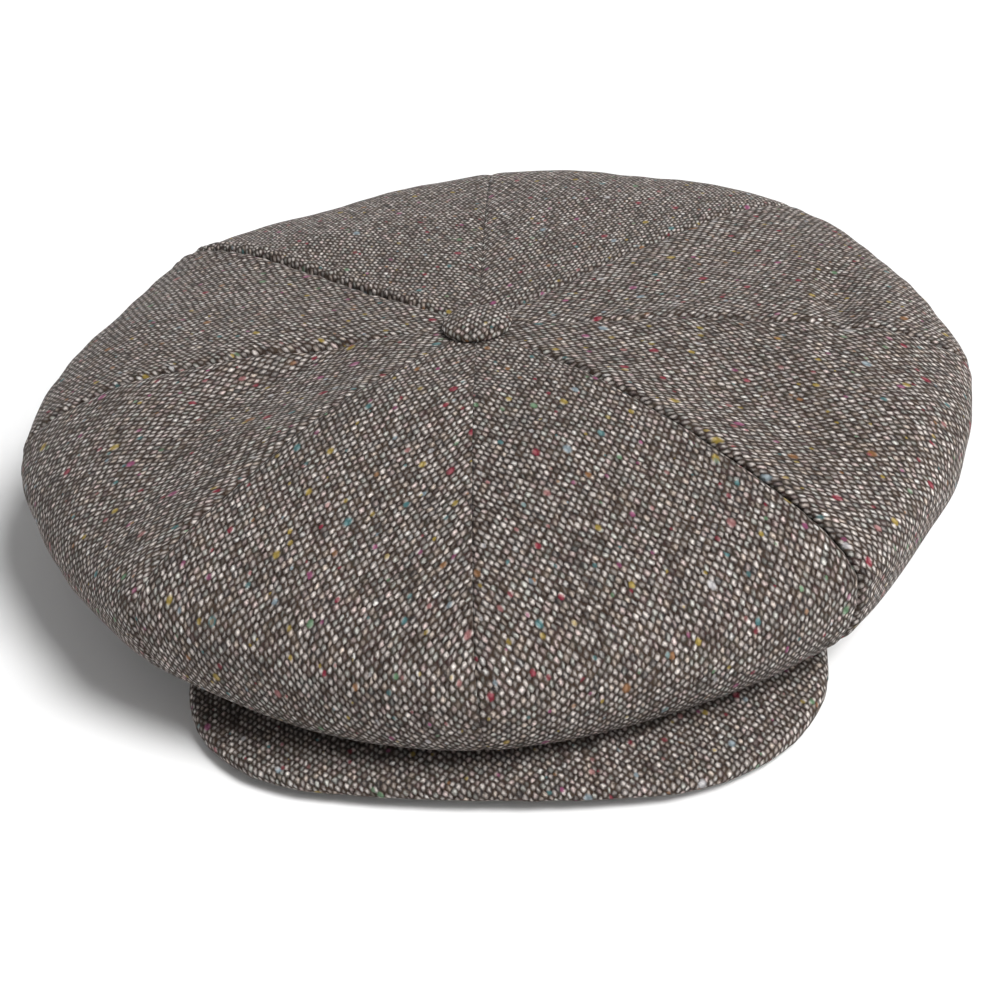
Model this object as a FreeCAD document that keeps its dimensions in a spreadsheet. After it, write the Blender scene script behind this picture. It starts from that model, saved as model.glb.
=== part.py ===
"""Eight-panel newsboy cap: a full, slouched tweed crown on a narrow band, a flat visor and a covered button.

Frame: millimetres, +Z up, the visor towards -Y. The origin is the centre of the head opening, in the plane
that the band stands on. The crown sits off that centre, and is turned a little, because the soft cloth slouches.
"""
import FreeCAD, Part
import math
import os

import Sketcher
from FreeCAD import Placement, Rotation, Vector

DIMENSIONS = [
    # alias, value, what it is
    ("head_half_width", 82.0, "inside of the sweatband, ear to ear"),
    ("head_half_length", 100.0, "inside of the sweatband, brow to nape"),
    ("sweatband_thick", 1.2, "folded cotton twill"),
    ("sweatband_height", 30.0, ""),
    ("ply_gap", 0.2, "between plies that are sewn together"),
    ("lining_thick", 0.6, ""),
    ("stiffener_thick", 0.8, "woven tape inside the band"),
    ("stiffener_low", 3.0, ""),
    ("stiffener_height", 18.0, ""),
    ("tweed_thick", 1.6, ""),
    ("band_height", 24.0, "outer band"),
    ("apex_x", -12.0, "the button's axis"),
    ("apex_y", -6.0, ""),
    ("crown_top", 73.0, "outside of the cloth under the button"),
    ("crown_twist", 6.3, "degrees that the slouched crown is turned by"),
    ("apex_hole", 3.2, "radius left for the button's tack"),
    ("rim_mean", 151.5, "radius of the crown's widest line from the apex"),
    ("rim_fore", -15.8, "less in front, more behind"),
    ("rim_oval", 1.3, ""),
    ("rim_skew", 3.0, ""),
    ("rim_lift", 40.4, "height of that widest line"),
    ("rim_lift_fore", -6.7, ""),
    ("rim_lift_side", 4.2, ""),
    ("fold_radius", 122.0, "lowest line of the overhang, from the apex"),
    ("fold_lift", 8.5, "height of that lowest line"),
    ("fold_lift_fore", 0.7, "a little more in front, over the visor"),
    ("seam_lift", 22.0, "where the crown is sewn to the band"),
    ("seam_gap", 0.3, "between the crown's turned-up edge and the band"),
    ("dome_flatness", 0.71, "handle of the top curve, as a share of the radius"),
    ("shoulder_fullness", 0.65, "handle of the shoulder, as a share of the drop"),
    ("fold_roundness", 0.55, "handles of the overhang's curves"),
    ("seam_trim", 0.06, "degrees taken off each side of a panel"),
    ("lining_top_inset", 4.6, ""),
    ("lining_rim_inset", 14.0, ""),
    ("lining_fold_out", 8.0, "from the band to the lining's lowest line"),
    ("lining_fold_lift", 28.0, ""),
    ("lining_end_lift", 24.6, "just over the outer band's edge"),
    ("lining_hole", 1.0, ""),
    ("patch_radius", 14.0, "felt disc inside the crown's tip"),
    ("patch_thick", 1.0, ""),
    ("patch_hole", 1.5, ""),
    ("button_radius", 11.0, ""),
    ("button_height", 3.8, ""),
    ("button_edge", 3.1, "height of the button's upright edge"),
    ("button_lip", 3.0, "cloth turned in under the button"),
    ("cover_thick", 1.0, "tweed stretched over the button"),
    ("shell_thick", 0.4, "pressed metal"),
    ("shell_edge", 0.9, ""),
    ("button_gap", 0.1, ""),
    ("backplate_radius", 7.6, ""),
    ("backplate_thick", 0.9, ""),
    ("tack_radius", 1.2, ""),
    ("tack_length", 5.1, ""),
    ("tack_head_radius", 6.0, ""),
    ("tack_head_thick", 0.8, ""),
    ("visor_front", 146.5, "front edge, from the head opening's centre"),
    ("visor_half_width", 93.5, ""),
    ("visor_front_radius", 313.0, ""),
    ("visor_corner_radius", 62.0, ""),
    ("visor_side_radius", 130.0, ""),
    ("visor_horn", 40.0, "where the horns end, in front of the centre"),
    ("visor_arch_radius", 1400.0, ""),
    ("visor_slope", 0.8, "degrees that the visor falls to the front"),
    ("visor_clearance", 0.8, "between the visor and the band"),
    ("visor_rest", 3.1, "height of the front edge's middle, so that its corners just clear the ground"),
    ("undercover_thick", 1.3, "tweed under the visor"),
    ("board_thick", 1.6, "moulded polythene"),
    ("padding_thick", 0.6, "felt"),
    ("board_inset", 3.0, "cloth turned round the board's edge"),
    ("visor_ply_gap", 0.1, ""),
    ("trim_margin", 10.0, "of the waste round the visor's outline"),
]

PANELS = 8
SECTIONS_PER_PANEL = 5
PANEL_NAMES = ("front_left", "left_front", "left_back", "back_left",
               "back_right", "right_back", "right_front", "front_right")

doc = FreeCAD.newDocument("newsboy_cap")
sheet = doc.addObject("Spreadsheet::Sheet", "Dims")
for row, (alias, value, note) in enumerate(DIMENSIONS, start=1):
    sheet.set(f"A{row}", alias.replace("_", " "))
    sheet.set(f"B{row}", str(value))
    sheet.set(f"C{row}", note)
    sheet.setAlias(f"B{row}", alias)
doc.recompute()

nodes = []


def dim(alias):
    """A driving dimension, read from the sheet."""
    return float(sheet.get(alias))


def value(expression):
    """What an expression of the sheet comes to, as a sketch's first guess."""
    return float(sheet.evalExpression(expression))


def finished(item, label):
    """Names a finished sub-part and lists it for export."""
    item.Label = label
    nodes.append(item)
    return item


# ---- sketch and body helpers ----

def new_sketch(body, name, plane_role):
    """A sketch on one of its body's origin planes."""
    plane = next(f for f in body.Origin.OriginFeatures if f.Role == plane_role)
    sketch = body.newObject("Sketcher::SketchObject", name)
    sketch.AttachmentSupport = [(plane, "")]
    sketch.MapMode = "FlatFace"
    return sketch


def closed_lines(sketch, points):
    """Joins the points with lines in a loop, level and upright by turns, and returns the lines."""
    corners = [Vector(*point, 0) for point in points]
    lines = [line(sketch, start, end) for start, end in zip(corners, corners[1:] + corners[:1])]
    join(sketch, *((one, 2, following, 1) for one, following in zip(lines, lines[1:] + lines[:1])))
    square_up(sketch, lines, "Horizontal")
    return lines


def square_up(sketch, lines, first):
    """Keeps lines level and upright by turns."""
    turns = [first, "Vertical" if first == "Horizontal" else "Horizontal"]
    for count, one in enumerate(lines):
        sketch.addConstraint(Sketcher.Constraint(turns[count % 2], one))


def bind(sketch, name, expression, kind, *where):
    """Adds a named constraint whose value is an expression of the sheet."""
    index = sketch.addConstraint(Sketcher.Constraint(kind, *where, value(expression)))
    sketch.renameConstraint(index, name)
    sketch.setExpression(f"Constraints.{name}", expression)


def join(sketch, *pairs):
    """Joins curve ends, each pair being (curve, end, other curve, other end)."""
    for pair in pairs:
        sketch.addConstraint(Sketcher.Constraint("Coincident", *pair))


def arc(sketch, centre, radius, first, last):
    """Adds an arc, anticlockwise from one angle to another in radians."""
    circle = Part.Circle(centre, Vector(0, 0, 1), radius)
    return sketch.addGeometry(Part.ArcOfCircle(circle, first, last), False)


def line(sketch, start, end):
    """Adds a line between two points of the sketch."""
    return sketch.addGeometry(Part.LineSegment(start, end), False)


# ---- crown and lining panels ----

def round_sum(azimuth, mean, fore=0.0, side=0.0, oval=0.0, skew=0.0):
    """A size that changes smoothly round the cap, from the front (azimuth 0) by way of the wearer's left."""
    return (mean + fore * math.cos(azimuth) + side * math.sin(azimuth)
            + oval * math.cos(2 * azimuth) + skew * math.sin(2 * azimuth))


def distance_to_band(direction, inset):
    """From the apex axis, along a level direction, to the head ellipse grown by inset."""
    half_width = dim("head_half_width") + inset
    half_length = dim("head_half_length") + inset
    px, py = dim("apex_x") / half_width, dim("apex_y") / half_length
    dx, dy = direction.x / half_width, direction.y / half_length
    a, b, c = dx * dx + dy * dy, px * dx + py * dy, px * px + py * py - 1
    return (-b + math.sqrt(b * b - a * c)) / a


def meridian(azimuth, skin):
    """The three Bezier curves of one skin from the apex to the band, each four (radius, height) poles."""
    rim = round_sum(azimuth, dim("rim_mean"), dim("rim_fore"), oval=dim("rim_oval"), skew=dim("rim_skew"))
    rim -= skin["rim_inset"]
    rim_z = round_sum(azimuth, dim("rim_lift"), dim("rim_lift_fore"), dim("rim_lift_side"))
    fold_z = skin["fold_lift"] + skin["fold_raise"]
    if skin["follows_visor"]:
        fold_z = round_sum(azimuth, fold_z, dim("fold_lift_fore"))
    top_z = dim("crown_top") - skin["top_inset"]
    turned = azimuth + math.radians(dim("crown_twist"))
    end_r = distance_to_band(Vector(math.sin(turned), -math.cos(turned), 0), skin["band_inset"])
    fold_r = skin["fold_radius"] or end_r + dim("lining_fold_out")
    end_z = skin["end_lift"]
    flat, full, curl = dim("dome_flatness"), dim("shoulder_fullness"), dim("fold_roundness")
    return [
        [(skin["hole"], top_z), (flat * rim, top_z), (rim, rim_z + full * (top_z - rim_z)), (rim, rim_z)],
        [(rim, rim_z), (rim, rim_z - curl * (rim_z - fold_z)), (fold_r + curl * (rim - fold_r), fold_z),
         (fold_r, fold_z)],
        [(fold_r, fold_z), (fold_r - curl * (fold_r - end_r), fold_z),
         (end_r, end_z - curl * (end_z - fold_z)), (end_r, end_z)],
    ]


def panel_section(azimuth, outside, inside):
    """The closed outline of a panel's cloth, in the upright plane through the apex at this azimuth."""
    turned = azimuth + math.radians(dim("crown_twist"))

    def place(pole):
        radius, height = pole
        x = dim("apex_x") + radius * math.sin(turned)
        y = dim("apex_y") - radius * math.cos(turned)
        return Vector(x, y, height)

    edges = []
    for curve, reverse in ((outside, False), (inside, True)):
        spans = meridian(azimuth, curve)
        if reverse:
            spans = [list(reversed(span)) for span in reversed(spans)]
        if edges:
            edges.append(Part.LineSegment(edges[-1].EndPoint, place(spans[0][0])))
        for span in spans:
            bezier = Part.BezierCurve()
            bezier.setPoles([place(pole) for pole in span])
            edges.append(bezier)
    edges.append(Part.LineSegment(edges[-1].EndPoint, edges[0].StartPoint))
    return Part.Wire([edge.toShape() for edge in edges])


def panels(prefix, outside, inside):
    """Eight panels from seam to seam, each a loft through upright sections."""
    share = 2 * math.pi / PANELS
    trim = math.radians(dim("seam_trim"))
    for number, name in enumerate(PANEL_NAMES):
        first, last = number * share + trim, (number + 1) * share - trim
        step = (last - first) / (SECTIONS_PER_PANEL - 1)
        azimuths = [first + count * step for count in range(SECTIONS_PER_PANEL)]
        sections = [panel_section(azimuth, outside, inside) for azimuth in azimuths]
        panel = doc.addObject("Part::Feature", prefix + "_" + name)
        panel.Shape = Part.makeLoft(sections, True, False)
        panel.Placement = Placement()
        finished(panel, f"{prefix}_{name}")


def band_outside():
    """From the head ellipse to the outside of the outer band."""
    plies = dim("sweatband_thick") + dim("lining_thick") + dim("stiffener_thick") + dim("tweed_thick")
    return plies + 3 * dim("ply_gap")


def crown_skin(depth):
    """The crown's cloth at a depth below its outside."""
    return {
        "hole": dim("apex_hole"), "top_inset": depth, "rim_inset": depth,
        "fold_radius": dim("fold_radius"), "fold_lift": dim("fold_lift"), "fold_raise": depth,
        "follows_visor": True, "end_lift": dim("seam_lift"),
        "band_inset": band_outside() + dim("seam_gap") + depth,
    }


def lining_skin(depth):
    """The lining at a depth below its outside. It ends over the band's top edge, behind the sweatband."""
    return {
        "hole": dim("lining_hole"), "top_inset": dim("lining_top_inset") + depth,
        "rim_inset": dim("lining_rim_inset") + depth, "fold_radius": None,
        "fold_lift": dim("lining_fold_lift"), "fold_raise": depth, "follows_visor": False,
        "end_lift": dim("lining_end_lift"),
        "band_inset": dim("sweatband_thick") + dim("ply_gap") + dim("lining_thick") - depth,
    }


# ---- bands ----

def ellipse_prism(name, inset, low, height):
    """A solid elliptical prism round the head opening. inset and the heights are expressions of the sheet."""
    ellipse = doc.addObject("Part::Ellipse", name + "_outline")
    ellipse.setExpression("MajorRadius", f"Dims.head_half_length + {inset}")
    ellipse.setExpression("MinorRadius", f"Dims.head_half_width + {inset}")
    ellipse.Placement = Placement(Vector(), Rotation(Vector(0, 0, 1), 90))
    ellipse.setExpression("Placement.Base.z", low)
    prism = doc.addObject("Part::Extrusion", name)
    prism.Base = ellipse
    prism.DirMode = "Custom"
    prism.Dir = Vector(0, 0, 1)
    prism.setExpression("LengthFwd", height)
    prism.Solid = True
    return prism


def band(label, inner, thick, low, height):
    """An elliptical ring of cloth, as one prism cut from another."""
    outside = ellipse_prism(label + "_outside", f"{inner} + {thick}", low, height)
    inside = ellipse_prism(label + "_inside", inner, low, height)
    ring = doc.addObject("Part::Cut", label)
    ring.Base, ring.Tool = outside, inside
    return finished(ring, label)


# ---- button ----

def revolved(body, sketch, label):
    """Turns a section about the sketch's upright axis."""
    revolution = body.newObject("PartDesign::Revolution", label + "_turned")
    revolution.Profile = sketch
    revolution.ReferenceAxis = (sketch, ["V_Axis"])
    revolution.Angle = 360
    return finished(body, label)


def domed_cup(label, radius, height, edge, thick, lip):
    """A shallow dome with an upright edge and a lip under it. The sizes are expressions of the sheet."""
    body = doc.addObject("PartDesign::Body", label)
    sketch = new_sketch(body, label + "_section", "XZ_Plane")
    r, top, side, wall, turned_in = (value(size) for size in (radius, height, edge, thick, lip))
    rise = top - side
    sphere = (r * r + rise * rise) / (2 * rise)
    centre = Vector(0, top - sphere, 0)
    inner_r = r - wall
    inner_side = centre.y + math.sqrt((sphere - wall) ** 2 - inner_r ** 2)
    outer = arc(sketch, centre, sphere, math.atan2(side - centre.y, r), math.pi / 2)
    inner = arc(sketch, centre, sphere - wall, math.atan2(inner_side - centre.y, inner_r), math.pi / 2)
    axis_line = line(sketch, Vector(0, top, 0), Vector(0, top - wall, 0))
    lip_r = r - turned_in
    path = [(inner_r, inner_side), (inner_r, wall), (lip_r, wall), (lip_r, 0), (r, 0), (r, side)]
    corners = [Vector(*point, 0) for point in path]
    sides = [line(sketch, start, end) for start, end in zip(corners, corners[1:])]
    inner_wall, lip_top, lip_end, base, outer_wall = sides
    join(sketch, (outer, 2, axis_line, 1), (axis_line, 2, inner, 2), (inner, 1, inner_wall, 1),
         *((one, 2, following, 1) for one, following in zip(sides, sides[1:])),
         (outer_wall, 2, outer, 1), (outer, 3, inner, 3))
    for curve, end in ((outer, 3), (outer, 2), (inner, 2)):
        sketch.addConstraint(Sketcher.Constraint("PointOnObject", curve, end, -2))
    square_up(sketch, sides, "Vertical")
    bind(sketch, "radius", radius, "DistanceX", -1, 1, outer_wall, 2)
    bind(sketch, "height", height, "DistanceY", -1, 1, outer, 2)
    bind(sketch, "edge", edge, "DistanceY", -1, 1, outer, 1)
    bind(sketch, "wall", thick, "DistanceX", inner_wall, 1, outer_wall, 2)
    bind(sketch, "roof", thick, "DistanceY", inner, 2, outer, 2)
    bind(sketch, "floor", thick, "DistanceY", base, 1, lip_top, 1)
    bind(sketch, "lip", lip, "DistanceX", lip_end, 1, outer_wall, 2)
    sketch.addConstraint(Sketcher.Constraint("PointOnObject", base, 2, -1))
    return revolved(body, sketch, label)


def washer(label, radius, hole, thick):
    """A round disc with a hole, its sizes expressions of the sheet."""
    body = doc.addObject("PartDesign::Body", label)
    sketch = new_sketch(body, label + "_outline", "XY_Plane")
    for name, expression in (("outside", radius), ("hole", hole)):
        circle = sketch.addGeometry(Part.Circle(Vector(), Vector(0, 0, 1), value(expression)), False)
        join(sketch, (circle, 3, -1, 1))
        bind(sketch, name, expression, "Radius", circle)
    pad = body.newObject("PartDesign::Pad", label + "_disc")
    pad.Profile = sketch
    pad.setExpression("Length", thick)
    return finished(body, label)


def tack(label):
    """A flat head with a straight post."""
    body = doc.addObject("PartDesign::Body", label)
    sketch = new_sketch(body, label + "_section", "XZ_Plane")
    sizes = ("tack_head_radius", "tack_head_thick", "tack_radius", "tack_length")
    head, thick, post, length = (dim(size) for size in sizes)
    outline = [(0, 0), (head, 0), (head, thick), (post, thick), (post, length), (0, length)]
    base, rim, _, _, tip, _ = closed_lines(sketch, outline)
    join(sketch, (base, 1, -1, 1))
    bind(sketch, "head", "Dims.tack_head_radius", "DistanceX", base, 1, base, 2)
    bind(sketch, "thick", "Dims.tack_head_thick", "DistanceY", rim, 1, rim, 2)
    bind(sketch, "post", "Dims.tack_radius", "DistanceX", tip, 2, tip, 1)
    bind(sketch, "length", "Dims.tack_length", "DistanceY", -1, 1, tip, 1)
    return revolved(body, sketch, label)


def on_apex(item, height):
    """Stands a button piece on the apex axis at a height given as an expression."""
    item.setExpression("Placement.Base.x", "Dims.apex_x")
    item.setExpression("Placement.Base.y", "Dims.apex_y")
    item.setExpression("Placement.Base.z", height)


# ---- visor ----

def arched_strip(body, label, low, thick):
    """Pads the visor's arched section towards the front, wider and longer than the visor."""
    sketch = new_sketch(body, label + "_section", "XZ_Plane")
    inner_radius, outer_radius = "Dims.visor_arch_radius", f"Dims.visor_arch_radius + {thick}"
    width = "2 * (Dims.visor_half_width + Dims.trim_margin / 2)"
    arch = value(inner_radius)
    reach = math.asin(value(width) / 2 / arch)
    centre = Vector(0, value(low) - arch, 0)
    arcs = [arc(sketch, centre, radius, math.pi / 2 - reach, math.pi / 2 + reach)
            for radius in (arch, value(outer_radius))]
    lower, upper = arcs
    for end in (1, 2):
        side = line(sketch, sketch.getPoint(lower, end), sketch.getPoint(upper, end))
        join(sketch, (lower, end, side, 1), (upper, end, side, 2))
        sketch.addConstraint(Sketcher.Constraint("Vertical", side))
    join(sketch, (lower, 3, upper, 3))
    sketch.addConstraint(Sketcher.Constraint("PointOnObject", lower, 3, -2))
    sketch.addConstraint(Sketcher.Constraint("Symmetric", lower, 1, lower, 2, -2))
    bind(sketch, "inner_radius", inner_radius, "Radius", lower)
    bind(sketch, "outer_radius", outer_radius, "Radius", upper)
    bind(sketch, "drop", f"Dims.visor_arch_radius - ({low})", "DistanceY", lower, 3, -1, 1)
    bind(sketch, "span", width, "DistanceX", lower, 2, lower, 1)
    strip = body.newObject("PartDesign::Pad", label + "_strip")
    strip.Profile = sketch
    strip.setExpression("Length", "Dims.visor_front + Dims.trim_margin / 2")
    doc.recompute()
    if body.Shape.CenterOfMass.y > 0:
        strip.Reversed = True
        doc.recompute()


def pocket(body, sketch, name):
    """Cuts a sketch right through its body, both ways, and makes sure that something is cut."""
    before = body.Shape.Volume
    cut = body.newObject("PartDesign::Pocket", name)
    cut.Profile = sketch
    cut.Type = "ThroughAll"
    cut.Midplane = True
    doc.recompute()
    if body.Shape.Volume >= before:
        raise SystemExit(f"{name} cuts nothing")


def visor_layer(label, low, thick, inset):
    """One ply of the visor: an arched strip trimmed to the crescent. Its sizes are expressions."""
    body = doc.addObject("PartDesign::Body", label)
    arched_strip(body, label, low, thick)
    waste = new_sketch(body, label + "_waste", "XY_Plane")
    crescent(waste, inset)
    pocket(body, waste, label + "_outline")
    head = new_sketch(body, label + "_head", "XY_Plane")
    head_ellipse(head)
    pocket(body, head, label + "_opening")
    slope = "Dims.visor_slope * 1 deg"
    for part, expression in (("x", "1"), ("y", "0"), ("z", "0")):
        body.setExpression(f"Placement.Rotation.Axis.{part}", expression)
    body.setExpression("Placement.Rotation.Angle", slope)
    body.setExpression("Placement.Base.z", f"Dims.visor_rest + Dims.visor_front * sin({slope})")
    return finished(body, label)


def crescent(sketch, inset):
    """A frame to cut away, with the visor's outline inside it: a nearly flat front arc, two corner arcs, two
    side arcs that run back beside the head, and a straight back."""
    half, front, horn = dim("visor_half_width"), dim("visor_front"), -dim("visor_horn")
    flat, corner, side = (dim(f"visor_{part}_radius") for part in ("front", "corner", "side"))
    front_centre = Vector(0, flat - front, 0)
    corner_x = half - corner
    corner_y = front_centre.y - math.sqrt((flat - corner) ** 2 - corner_x ** 2)
    lean = math.atan2(corner_y - front_centre.y, corner_x)
    side_turn = math.asin((horn - corner_y) / side)
    front_arc = arc(sketch, front_centre, flat, -math.pi - lean, lean)
    left_corner = arc(sketch, Vector(corner_x, corner_y, 0), corner, lean, 0)
    left_side = arc(sketch, Vector(half - side, corner_y, 0), side, 0, side_turn)
    right_corner = arc(sketch, Vector(-corner_x, corner_y, 0), corner, math.pi, math.pi - lean)
    right_side = arc(sketch, Vector(side - half, corner_y, 0), side, math.pi - side_turn, math.pi)
    back = line(sketch, sketch.getPoint(left_side, 2), sketch.getPoint(right_side, 1))
    for ends in ((front_arc, 2, left_corner, 1), (left_corner, 2, left_side, 1),
                 (right_side, 2, right_corner, 1), (right_corner, 2, front_arc, 1)):
        sketch.addConstraint(Sketcher.Constraint("Tangent", *ends))
    join(sketch, (left_side, 2, back, 1), (right_side, 1, back, 2))
    sketch.addConstraint(Sketcher.Constraint("PointOnObject", front_arc, 3, -2))
    sketch.addConstraint(Sketcher.Constraint("Symmetric", left_side, 2, right_side, 1, -2))
    for one, other in ((left_corner, right_corner), (left_side, right_side)):
        sketch.addConstraint(Sketcher.Constraint("Equal", one, other))
    for one, other in ((left_corner, left_side), (right_corner, right_side)):
        sketch.addConstraint(Sketcher.Constraint("Horizontal", one, 3, other, 3))
    bind(sketch, "front_radius", f"Dims.visor_front_radius - {inset}", "Radius", front_arc)
    bind(sketch, "corner_radius", f"Dims.visor_corner_radius - {inset}", "Radius", left_corner)
    bind(sketch, "side_radius", f"Dims.visor_side_radius - {inset}", "Radius", left_side)
    bind(sketch, "front_centre", "Dims.visor_front_radius - Dims.visor_front", "DistanceY",
         -1, 1, front_arc, 3)
    bind(sketch, "corner_centre", "Dims.visor_half_width - Dims.visor_corner_radius", "DistanceX",
         -1, 1, left_corner, 3)
    bind(sketch, "horn", "Dims.visor_horn", "DistanceY", left_side, 2, -1, 1)
    margin = dim("trim_margin")
    corners = [(-half - margin, -front - margin), (half + margin, -front - margin),
               (half + margin, margin), (-half - margin, margin)]
    lines = closed_lines(sketch, corners)
    bind(sketch, "frame_width", "2 * (Dims.visor_half_width + Dims.trim_margin)", "DistanceX",
         lines[0], 1, lines[0], 2)
    bind(sketch, "frame_side", "Dims.visor_half_width + Dims.trim_margin", "DistanceX", -1, 1, lines[0], 2)
    bind(sketch, "frame_front", "Dims.visor_front + Dims.trim_margin", "DistanceY", lines[0], 1, -1, 1)
    bind(sketch, "frame_back", "Dims.trim_margin", "DistanceY", -1, 1, lines[1], 2)


def head_ellipse(sketch):
    """The outer band's outside, with the visor's clearance."""
    grown = ("Dims.sweatband_thick + Dims.lining_thick + Dims.stiffener_thick + Dims.tweed_thick"
             " + 3 * Dims.ply_gap + Dims.visor_clearance")
    long_end = Vector(0, value(f"Dims.head_half_length + {grown}"), 0)
    wide_end = Vector(value(f"Dims.head_half_width + {grown}"), 0, 0)
    ellipse = sketch.addGeometry(Part.Ellipse(long_end, wide_end, Vector()), False)
    sketch.exposeInternalGeometry(ellipse)
    major, minor = ellipse + 1, ellipse + 2
    join(sketch, (ellipse, 3, -1, 1))
    sketch.addConstraint(Sketcher.Constraint("Vertical", major))
    bind(sketch, "length", f"2 * (Dims.head_half_length + {grown})", "Distance", major)
    bind(sketch, "width", f"2 * (Dims.head_half_width + {grown})", "Distance", minor)


# ---- the cap ----

cloth = dim("tweed_thick")
panels("crown_panel", crown_skin(0.0), crown_skin(cloth))
panels("lining_panel", lining_skin(0.0), lining_skin(dim("lining_thick")))

sweat_out = "Dims.sweatband_thick"
stiffener_in = f"{sweat_out} + Dims.lining_thick + 2 * Dims.ply_gap"
band_in = f"{stiffener_in} + Dims.stiffener_thick + Dims.ply_gap"
band("sweatband", "0", "Dims.sweatband_thick", "0", "Dims.sweatband_height")
band("band_stiffener", stiffener_in, "Dims.stiffener_thick", "Dims.stiffener_low", "Dims.stiffener_height")
band("outer_band", band_in, "Dims.tweed_thick", "0", "Dims.band_height")

cover = domed_cup("button_cover", "Dims.button_radius", "Dims.button_height", "Dims.button_edge",
                  "Dims.cover_thick", "Dims.button_lip")
on_apex(cover, "Dims.crown_top + Dims.button_gap")
shell = domed_cup("button_shell", "Dims.button_radius - Dims.cover_thick - Dims.button_gap",
                  "Dims.button_height - 2 * (Dims.cover_thick + Dims.button_gap)", "Dims.shell_edge",
                  "Dims.shell_thick", "2 * Dims.shell_thick")
on_apex(shell, "Dims.crown_top + Dims.cover_thick + 2 * Dims.button_gap")
backplate = washer("button_backplate", "Dims.backplate_radius", "Dims.tack_radius + Dims.button_gap",
                   "Dims.backplate_thick")
on_apex(backplate, "Dims.crown_top + Dims.button_gap")
patch = washer("crown_tip_patch", "Dims.patch_radius", "Dims.patch_hole", "Dims.patch_thick")
on_apex(patch, "Dims.crown_top - Dims.tweed_thick - Dims.patch_thick - Dims.button_gap")
pin = tack("button_tack")
on_apex(pin, "Dims.crown_top - Dims.tweed_thick - Dims.patch_thick - 2 * Dims.button_gap"
             " - Dims.tack_head_thick")

board_low = "Dims.undercover_thick + Dims.visor_ply_gap"
padding_low = f"{board_low} + Dims.board_thick + Dims.visor_ply_gap"
cover_low = f"{padding_low} + Dims.padding_thick + Dims.visor_ply_gap"
visor_layer("visor_under_cover", "0", "Dims.undercover_thick", "0")
visor_layer("visor_board", board_low, "Dims.board_thick", "Dims.board_inset")
visor_layer("visor_padding", padding_low, "Dims.padding_thick", "Dims.board_inset")
visor_layer("visor_top_cover", cover_low, "Dims.tweed_thick", "0")

doc.recompute()
failed = [o.Name for o in doc.Objects if {"Invalid", "Error"} & set(o.State)]
if failed:
    raise SystemExit(f"failed objects: {failed}")
for node in nodes:
    if node.Shape.isNull() or not node.Shape.isValid() or not node.Shape.Solids:
        raise SystemExit(f"{node.Label} has no valid solid")

os.makedirs("parts", exist_ok=True)
for node in nodes:
    node.Shape.exportStep(f"parts/{node.Label}.step")
    box = node.Shape.BoundBox
    print(f"{node.Label:28s} {len(node.Shape.Solids)} solid {node.Shape.Volume / 1000:8.2f} cm3 "
          f"z {box.ZMin:7.2f}..{box.ZMax:7.2f} y {box.YMin:7.1f}..{box.YMax:7.1f}")
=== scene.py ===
"""The looks of an eight-panel newsboy cap in flecked tweed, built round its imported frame.

Everything is in metres, in the frame's own axes: +Z up, the visor towards -Y, +X to the wearer's left. A crown
panel is a sheet between two meridians of the crown. Each meridian runs from under the button, over the shoulder
and the overhang, to the band. Each piece of cloth has a UV map called weave, which holds metres on the flat cloth,
across and along its grain, so the weave keeps its real size and turns with the grain from panel to panel.
"""

import math

import bmesh
import bpy
import numpy as np
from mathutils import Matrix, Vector


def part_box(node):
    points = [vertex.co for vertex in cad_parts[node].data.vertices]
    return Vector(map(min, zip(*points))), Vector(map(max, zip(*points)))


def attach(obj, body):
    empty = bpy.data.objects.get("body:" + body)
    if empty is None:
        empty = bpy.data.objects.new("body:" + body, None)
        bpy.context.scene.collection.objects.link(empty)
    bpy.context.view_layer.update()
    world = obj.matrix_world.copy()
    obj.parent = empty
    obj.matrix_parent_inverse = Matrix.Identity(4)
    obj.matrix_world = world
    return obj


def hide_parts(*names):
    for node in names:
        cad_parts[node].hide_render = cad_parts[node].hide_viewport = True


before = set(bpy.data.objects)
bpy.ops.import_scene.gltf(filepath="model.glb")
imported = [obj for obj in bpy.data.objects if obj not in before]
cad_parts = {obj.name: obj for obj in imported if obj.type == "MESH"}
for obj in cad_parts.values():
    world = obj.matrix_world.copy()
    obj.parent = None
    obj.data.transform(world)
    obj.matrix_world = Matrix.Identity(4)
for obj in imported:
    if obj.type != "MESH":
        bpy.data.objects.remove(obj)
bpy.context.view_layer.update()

MM = 0.001
JOIN_DISTANCE = 1e-6

# ---- places that the frame gives ----

BUTTON_LOW, BUTTON_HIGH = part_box("button_cover")
APEX = (BUTTON_LOW + BUTTON_HIGH) / 2
CROWN_TOP = BUTTON_LOW.z
BAND_LOW, BAND_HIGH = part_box("outer_band")
SWEAT_LOW, SWEAT_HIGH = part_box("sweatband")
VISOR_LOW, VISOR_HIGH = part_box("visor_top_cover")
_, UNDER_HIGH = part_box("visor_under_cover")

# ---- the crown's shape, in metres and degrees ----

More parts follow.
